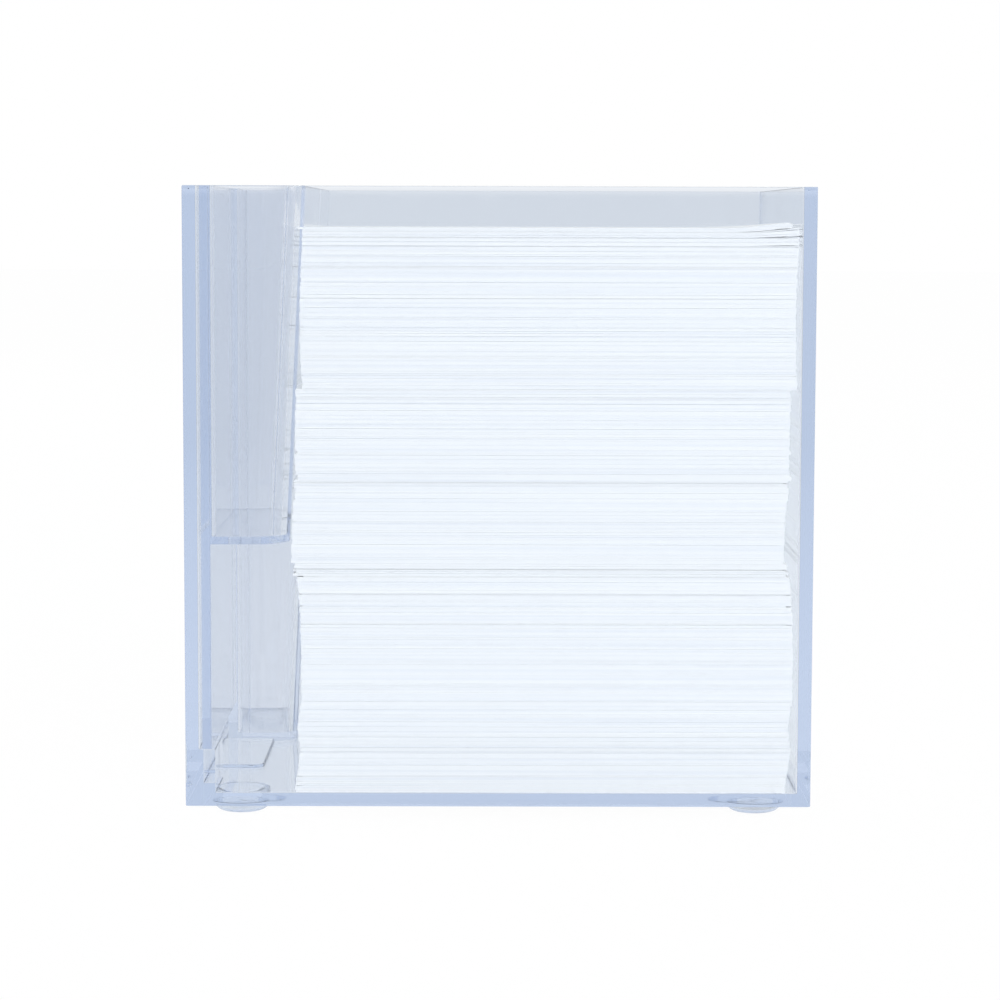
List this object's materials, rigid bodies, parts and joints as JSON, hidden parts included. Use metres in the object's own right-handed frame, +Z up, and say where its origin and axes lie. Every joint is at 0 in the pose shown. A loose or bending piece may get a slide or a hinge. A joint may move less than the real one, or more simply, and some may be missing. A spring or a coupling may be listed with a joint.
{
  "type": "memo cube",
  "caption": "Open clear plastic box that holds a stack of loose note sheets, with a lift-out holder for clips and pens beside the stack, on clear domed feet.",
  "frame": {"origin": "under the middle of the box, on the plane that the feet stand on", "axes": "+Z up, -Y the front that the picture looks at, -X the side with the holder for clips and pens"},
  "size_m": [0.1154, 0.0944, 0.1164],
  "materials": {
    "clear_box": "polished clear plastic with a faint blue tint",
    "clear_holder": "polished clear plastic with a faint blue tint",
    "note_paper": "smooth uncoated white paper",
    "clear_foot": "clear soft bumper, glossy"
  },
  "bodies": {
    "root": {"box": "clear_box", "pen_holder": "clear_holder", "paper_bottom": "note_paper", "paper_lower": "note_paper", "paper_upper": "note_paper", "paper_top": "note_paper", "curled_sheet": "note_paper", "foot_front_left": "clear_foot", "foot_front_right": "clear_foot", "foot_back_left": "clear_foot", "foot_back_right": "clear_foot"}
  },
  "joints": []
}
